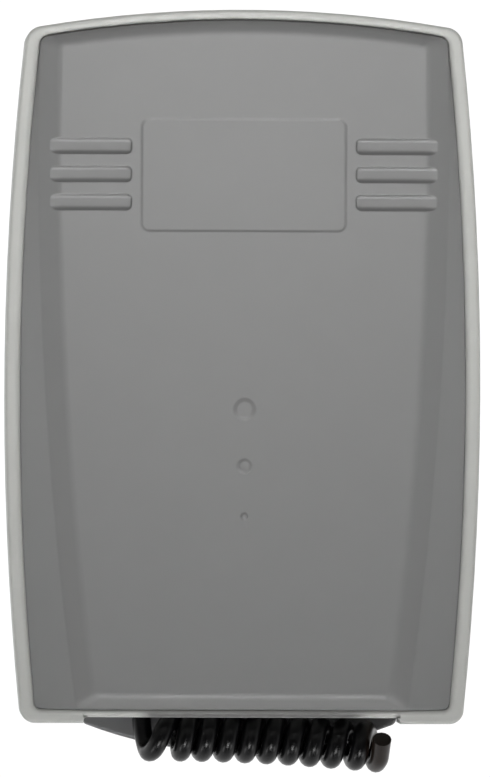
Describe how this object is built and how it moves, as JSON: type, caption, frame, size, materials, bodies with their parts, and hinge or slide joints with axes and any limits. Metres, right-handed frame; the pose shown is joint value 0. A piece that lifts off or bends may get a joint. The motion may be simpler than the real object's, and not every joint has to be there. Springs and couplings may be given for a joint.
{
  "type": "garage door controller",
  "caption": "Wall-mounted garage door controller: shield-shaped light grey case, grey cover with side grooves and raised dots, and a short black curly cord below.",
  "frame": {"origin": "middle of the flat wall face, at the back of the wall plate", "axes": "+Z out of the wall through the front cover, +Y towards the controller's top, +X to the right seen from the front"},
  "size_m": [0.1216, 0.1958, 0.0457],
  "materials": {
    "case_plastic": "fine-grained light grey ABS",
    "cover_plastic": "fine-grained mid grey ABS",
    "plate_plastic": "anthracite ABS",
    "cord_jacket": "satin black polyurethane jacket",
    "grommet_rubber": "matt black rubber",
    "clamp_plastic": "black nylon",
    "board_laminate": "green solder mask",
    "screw_steel": "zinc-plated steel",
    "core_steel": "varnished steel laminations",
    "winding_tape": "yellow insulating tape",
    "relay_case": "black relay case",
    "fuse_cap": "nickel-plated brass",
    "fuse_tube": "clear glass",
    "clip_brass": "tinned spring brass",
    "capacitor_sleeve": "dark blue shrink sleeve",
    "varistor_lacquer": "blue epoxy lacquer",
    "mains_block": "dark grey polyamide",
    "control_block": "green polyamide",
    "radio_laminate": "blue solder mask",
    "can_tin": "tin-plated steel",
    "aerial_jacket": "grey wire insulation",
    "chip_epoxy": "black epoxy with tinned legs",
    "key_plastic": "black switch housing",
    "plunger_plastic": "red plunger",
    "dip_plastic": "red switch housing",
    "slider_plastic": "white slider",
    "trimmer_plastic": "blue trimmer housing",
    "rotor_plastic": "off-white rotor",
    "led_lens": "tinted lens",
    "core_brown": "brown wire insulation",
    "core_white": "white wire insulation",
    "core_green": "green wire insulation"
  },
  "bodies": {
    "housing": {"back_plate": "plate_plastic", "case_body": "case_plastic", "case_floor": "case_plastic", "board_posts": "case_plastic", "cord_saddle": "case_plastic", "circuit_board": "board_laminate", "board_screws": "screw_steel", "transformer_core": "core_steel", "transformer_winding": "winding_tape", "relay_open": "relay_case", "relay_close": "relay_case", "relay_lamp": "relay_case", "fuse_glass": "fuse_tube", "fuse_caps": "fuse_cap", "fuse_clips": "clip_brass", "capacitor_bulk": "capacitor_sleeve", "capacitors_small": "capacitor_sleeve", "varistor": "varistor_lacquer", "mains_terminals": "mains_block", "mains_terminal_screws": "screw_steel", "control_terminals": "control_block", "control_terminal_screws": "screw_steel", "radio_board": "radio_laminate", "radio_can": "can_tin", "aerial_wire": "aerial_jacket", "microcontroller": "chip_epoxy", "learn_key": "key_plastic", "dip_base": "dip_plastic", "trimmer_bases": "trimmer_plastic", "status_leds": "led_lens", "cord_grommet": "grommet_rubber", "blank_grommets": "grommet_rubber", "cord_clamp": "clamp_plastic", "clamp_screws": "screw_steel", "cord_lead": "cord_jacket", "cord_coil": "cord_jacket", "core_brown": "core_brown", "core_white": "core_white", "core_green": "core_green"},
    "cover": {"front_cover": "cover_plastic"},
    "learn_plunger": {"learn_plunger": "plunger_plastic"},
    "dip_slider_1": {"dip_slider_1": "slider_plastic"},
    "dip_slider_2": {"dip_slider_2": "slider_plastic"},
    "dip_slider_3": {"dip_slider_3": "slider_plastic"},
    "dip_slider_4": {"dip_slider_4": "slider_plastic"},
    "trimmer_rotor_1": {"trimmer_rotor_1": "rotor_plastic"},
    "trimmer_rotor_2": {"trimmer_rotor_2": "rotor_plastic"}
  },
  "joints": [
    {"name": "cover_lift", "type": "slide", "parent": "housing", "child": "cover", "axis": [0, 0, 1], "range_m": [0, 0.06]},
    {"name": "learn_press", "type": "slide", "parent": "housing", "child": "learn_plunger", "axis": [0, 0, -1], "range_m": [0, 0.00025], "stiffness_N_per_m": 6000, "springref_m": -0.0001},
    {"name": "dip_slide_1", "type": "slide", "parent": "housing", "child": "dip_slider_1", "axis": [0, 1, 0], "range_m": [0, 0.0013]},
    {"name": "dip_slide_2", "type": "slide", "parent": "housing", "child": "dip_slider_2", "axis": [0, 1, 0], "range_m": [0, 0.0013]},
    {"name": "dip_slide_3", "type": "slide", "parent": "housing", "child": "dip_slider_3", "axis": [0, 1, 0], "range_m": [0, 0.0013]},
    {"name": "dip_slide_4", "type": "slide", "parent": "housing", "child": "dip_slider_4", "axis": [0, 1, 0], "range_m": [0, 0.0013]},
    {"name": "trimmer_turn_1", "type": "hinge", "parent": "housing", "child": "trimmer_rotor_1", "pos_m": [-0.009, -0.013, 0.0146], "axis": [0, 0, 1], "range_deg": [-135, 135]},
    {"name": "trimmer_turn_2", "type": "hinge", "parent": "housing", "child": "trimmer_rotor_2", "pos_m": [0.002, -0.013, 0.0146], "axis": [0, 0, 1], "range_deg": [-135, 135]}
  ]
}
